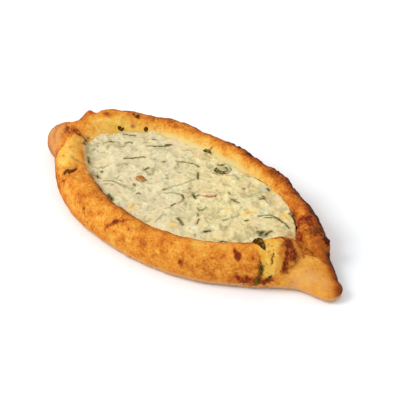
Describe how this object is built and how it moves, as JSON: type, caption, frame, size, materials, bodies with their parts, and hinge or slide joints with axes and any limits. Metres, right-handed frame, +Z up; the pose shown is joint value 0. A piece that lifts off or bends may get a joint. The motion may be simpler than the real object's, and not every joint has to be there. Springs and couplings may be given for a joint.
{
  "type": "manakish",
  "caption": "Boat-shaped manakish: a golden baked dough boat with a rolled rim, pinched at one end and drawn out to a tail at the other, open over a bed of white cheese and green herbs.",
  "frame": {"origin": "centre of the bounding box's bottom face, on the flat base the boat rests on", "axes": "+X along the boat from the pinched knob to the drawn-out tail, +Y across it, +Z up out of the filling"},
  "size_m": [0.2114, 0.1022, 0.0248],
  "materials": {
    "crust": "matte baked dough, golden orange with browned ridges and a paler underside",
    "cheese": "moist curd cheese flecked with green herbs"
  },
  "bodies": {
    "root": {"crust": "crust", "cheese_filling": "cheese"}
  },
  "joints": []
}
